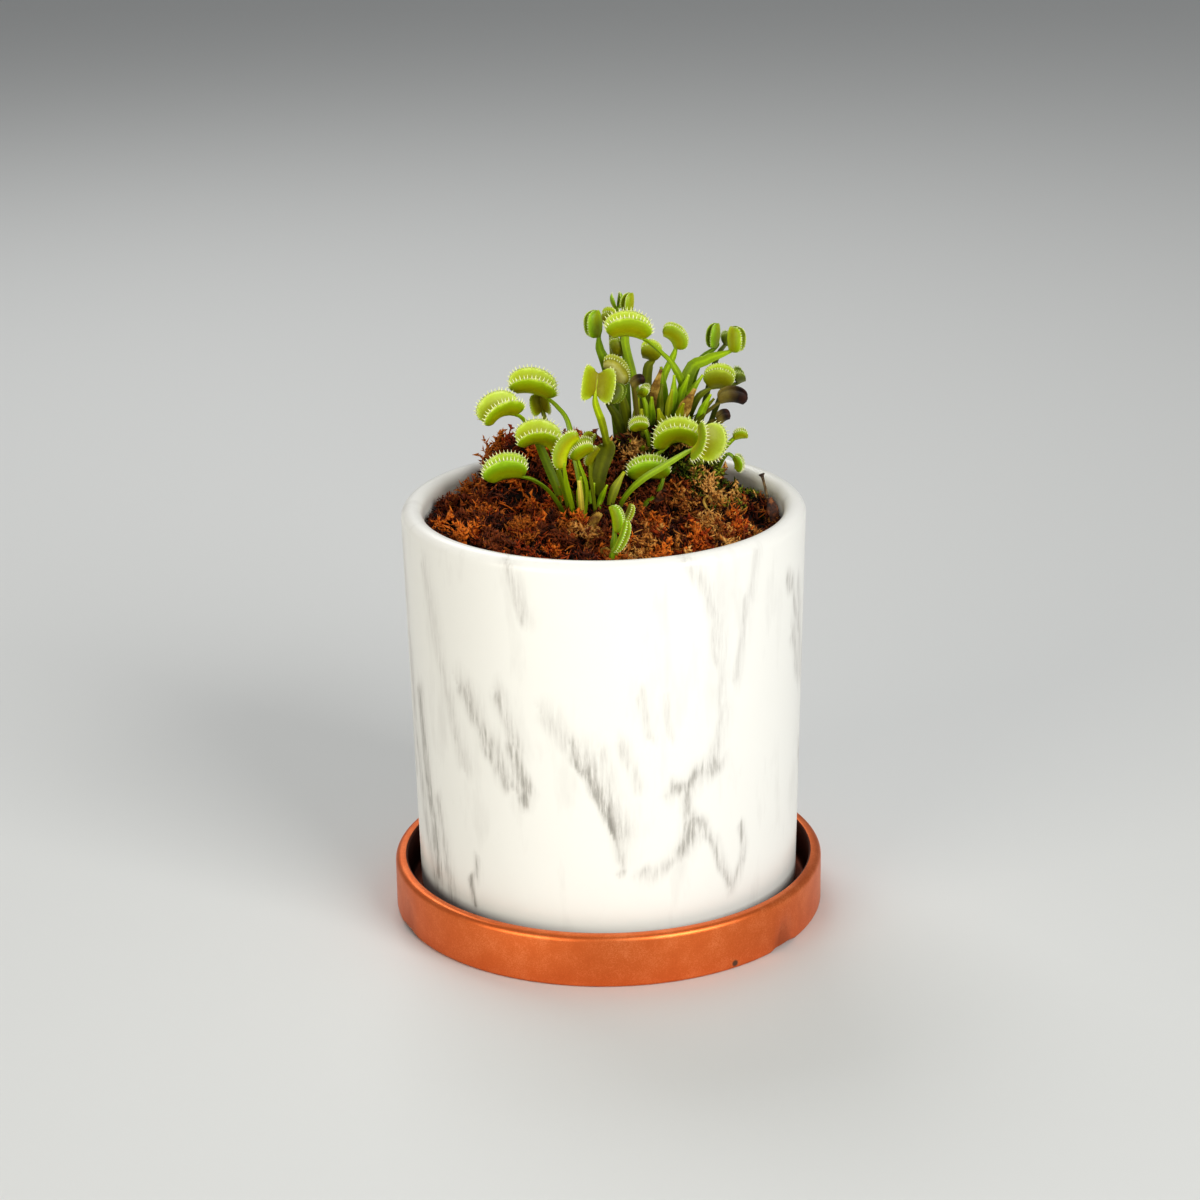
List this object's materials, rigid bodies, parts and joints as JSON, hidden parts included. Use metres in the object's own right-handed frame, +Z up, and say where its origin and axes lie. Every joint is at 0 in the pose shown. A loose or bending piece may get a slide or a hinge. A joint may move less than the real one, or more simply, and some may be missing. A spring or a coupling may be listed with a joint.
{
  "type": "potted venus flytrap",
  "caption": "Small carnivorous rosette plant with toothed hinged traps on stalks, in a mound of moss in a plain round ceramic pot that stands in a shallow round saucer.",
  "frame": {"origin": "centre of the saucer's underside, on the surface that it stands on", "axes": "+Z up along the pot's axis; the plant's show side, with the front leaves, faces -Y"},
  "size_m": [0.131, 0.131, 0.1821],
  "materials": {
    "saucer": "satin",
    "pot": "satin",
    "moss": "matte",
    "leaf_lime": "satin",
    "leaf_green": "satin",
    "leaf_olive": "matte",
    "leaf_dark": "matte",
    "leaf_yellow": "matte",
    "leaf_withered": "matte",
    "leaf_dead": "matte"
  },
  "bodies": {
    "root": {"saucer": "saucer", "pot": "pot", "moss": "moss", "leaf_left_1": "leaf_green", "leaf_left_2": "leaf_lime", "leaf_left_3": "leaf_lime", "leaf_left_4": "leaf_lime", "leaf_left_5": "leaf_lime", "leaf_left_6": "leaf_lime", "leaf_left_7": "leaf_lime", "leaf_left_8": "leaf_dark", "leaf_left_9": "leaf_olive", "leaf_left_10": "leaf_olive", "leaf_left_11": "leaf_yellow", "leaf_tall_1": "leaf_lime", "leaf_tall_2": "leaf_lime", "leaf_tall_3": "leaf_green", "leaf_tall_4": "leaf_dark", "leaf_tall_5": "leaf_olive", "leaf_tall_6": "leaf_olive", "leaf_tall_7": "leaf_dark", "leaf_tall_8": "leaf_lime", "leaf_tall_9": "leaf_olive", "leaf_tall_10": "leaf_dark", "leaf_tall_11": "leaf_lime", "leaf_tall_12": "leaf_lime", "dead_leaf_tall": "leaf_dead", "withered_blade_tall": "leaf_withered", "leaf_right_1": "leaf_green", "leaf_right_2": "leaf_green", "leaf_right_3": "leaf_dark", "leaf_right_4": "leaf_olive", "leaf_right_5": "leaf_dark", "dead_trap_right": "leaf_dead", "black_leaf_right": "leaf_dead", "withered_blade_right": "leaf_withered", "leaf_middle_1": "leaf_lime", "leaf_middle_2": "leaf_lime", "leaf_middle_3": "leaf_green", "leaf_middle_4": "leaf_lime", "leaf_middle_5": "leaf_green", "leaf_front_1": "leaf_green", "leaf_front_2": "leaf_lime", "leaf_front_3": "leaf_withered", "leaf_front_4": "leaf_olive"}
  },
  "joints": []
}
